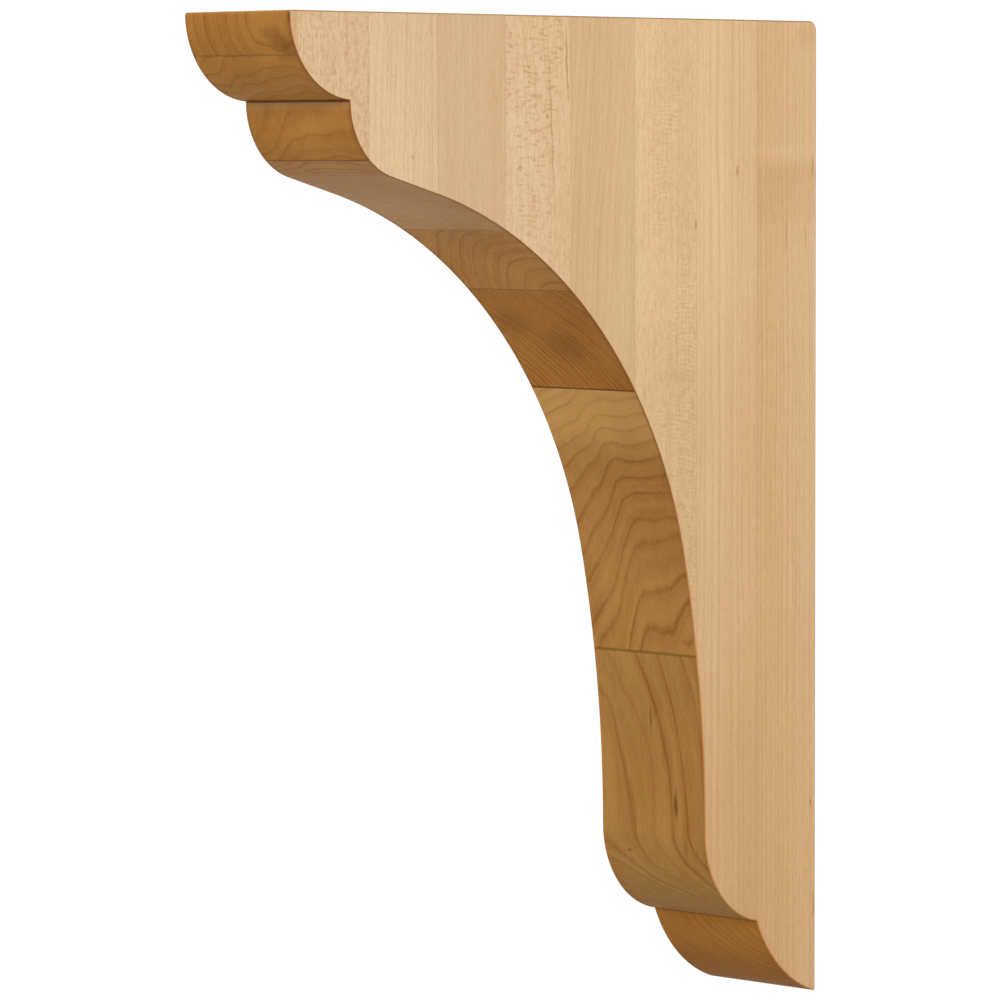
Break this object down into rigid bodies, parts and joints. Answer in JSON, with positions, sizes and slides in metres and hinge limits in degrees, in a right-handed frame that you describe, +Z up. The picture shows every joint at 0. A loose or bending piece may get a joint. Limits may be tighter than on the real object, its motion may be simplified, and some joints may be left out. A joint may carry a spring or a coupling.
{
  "type": "wooden corbel bracket",
  "caption": "Wooden corbel bracket sawn from an edge-glued maple block, with a roll-moulded nose, a long concave sweep and a small moulded foot against the wall.",
  "frame": {"origin": "centre of the flat back that meets the wall", "axes": "+Y points into the wall, +Z is up along the back, +X runs across the thickness"},
  "size_m": [0.0428, 0.2286, 0.3048],
  "materials": {
    "maple": "satin clear finish over pale maple"
  },
  "bodies": {
    "root": {"stave_1": "maple", "stave_2": "maple", "stave_3": "maple", "stave_4": "maple", "stave_5": "maple", "stave_6": "maple", "stave_7": "maple", "stave_8": "maple", "nose_strip": "maple"}
  },
  "joints": []
}
